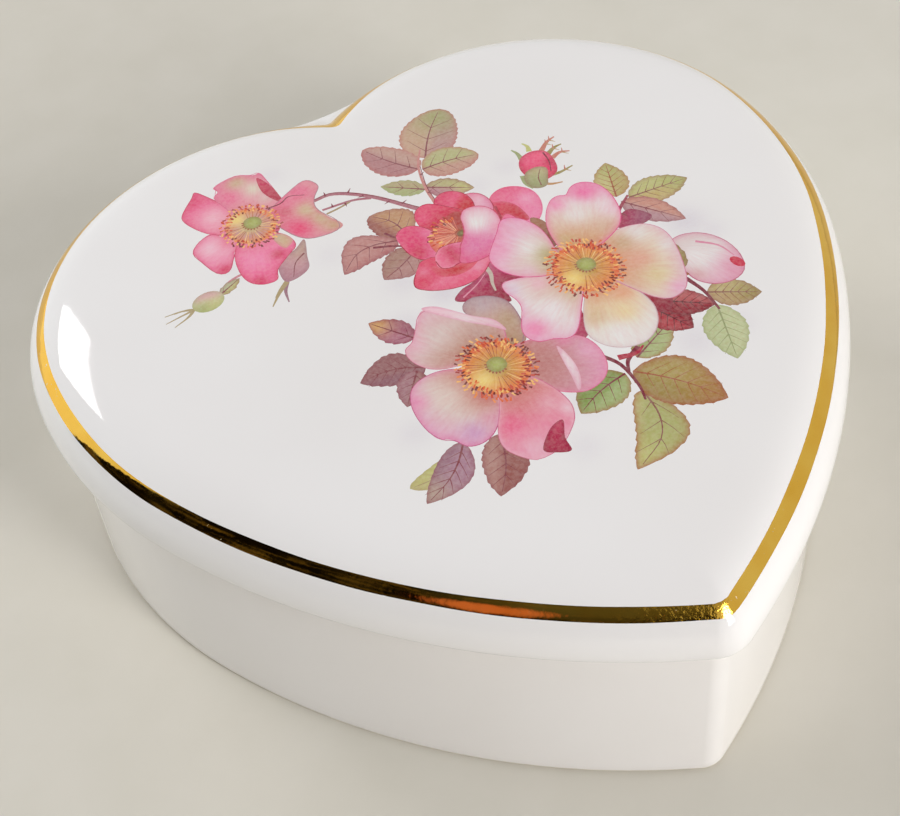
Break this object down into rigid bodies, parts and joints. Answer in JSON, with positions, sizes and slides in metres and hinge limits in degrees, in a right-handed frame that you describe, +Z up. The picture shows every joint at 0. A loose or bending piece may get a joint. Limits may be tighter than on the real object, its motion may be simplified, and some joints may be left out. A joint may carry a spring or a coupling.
{
  "type": "porcelain heart box",
  "caption": "Hollow heart-shaped porcelain box on a low foot ring, with a domed overhanging lid that lifts off a raised inner lip.",
  "frame": {"origin": "centre of the lid's plan, on the surface that the foot ring rests on", "axes": "+Z up; the tip of the heart points along -Y and the notch along +Y; X runs across the two lobes"},
  "size_m": [0.1348, 0.1346, 0.0456],
  "materials": {
    "body_glaze": "glossy white glaze",
    "lid_glaze": "glossy white glaze with a painted rose spray and a gilt line"
  },
  "bodies": {
    "root": {"box": "body_glaze", "lid": "lid_glaze"}
  },
  "joints": []
}
